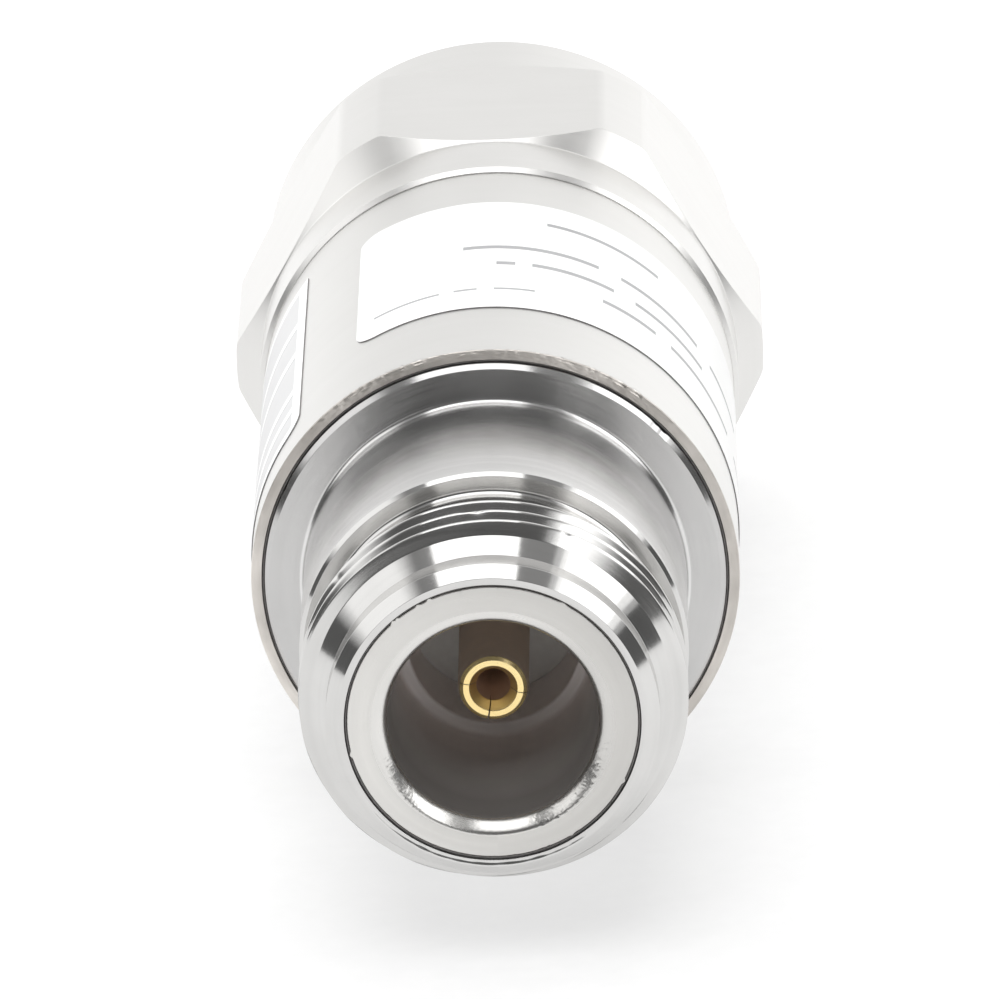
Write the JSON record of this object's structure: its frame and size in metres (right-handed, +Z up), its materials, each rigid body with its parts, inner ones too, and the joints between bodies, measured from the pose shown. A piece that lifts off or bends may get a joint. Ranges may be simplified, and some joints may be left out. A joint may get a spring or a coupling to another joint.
{
  "type": "rf attenuator",
  "caption": "Round fixed coaxial attenuator: threaded jack with a gold socket at one end, plug with a spinning hexagon coupling nut at the other, two wrap labels on a plain tube.",
  "frame": {"origin": "centre of the jack's front face, on the coaxial axis", "axes": "+Y along the coaxial axis from the jack to the plug, +Z up with a flat of the nut facing down, +X to the right seen from the jack"},
  "size_m": [0.023, 0.0542, 0.021],
  "materials": {
    "polished_plate": "polished turned metal plate",
    "satin_plate": "matte turned metal plate",
    "body_plate": "satin pale plate",
    "nut_plate": "satin pale plate",
    "gold_plate": "gold plate",
    "block_brass": "bare turned brass",
    "insulator": "white fluoropolymer",
    "card_ceramic": "unglazed ceramic with a dark film",
    "spring_steel": "bright spring wire",
    "gasket_rubber": "matte silicone rubber",
    "label_film": "semi-gloss white film"
  },
  "bodies": {
    "body": {"jack_shell": "polished_plate", "jack_sleeve": "satin_plate", "socket_contact": "gold_plate", "jack_bead": "insulator", "body_sleeve": "body_plate", "label": "label_film", "side_label": "label_film", "upper_ground_block": "block_brass", "lower_ground_block": "block_brass", "resistor_card": "card_ceramic", "plug_body": "polished_plate", "plug_ferrule": "satin_plate", "plug_pin": "gold_plate", "plug_bead": "insulator", "snap_ring": "spring_steel", "nut_gasket": "gasket_rubber"},
    "nut": {"coupling_nut": "nut_plate"}
  },
  "joints": [
    {"name": "nut_spin", "type": "hinge", "parent": "body", "child": "nut", "pos_m": [0, 0.0405, 0], "axis": [0, 1, 0], "continuous": true}
  ]
}
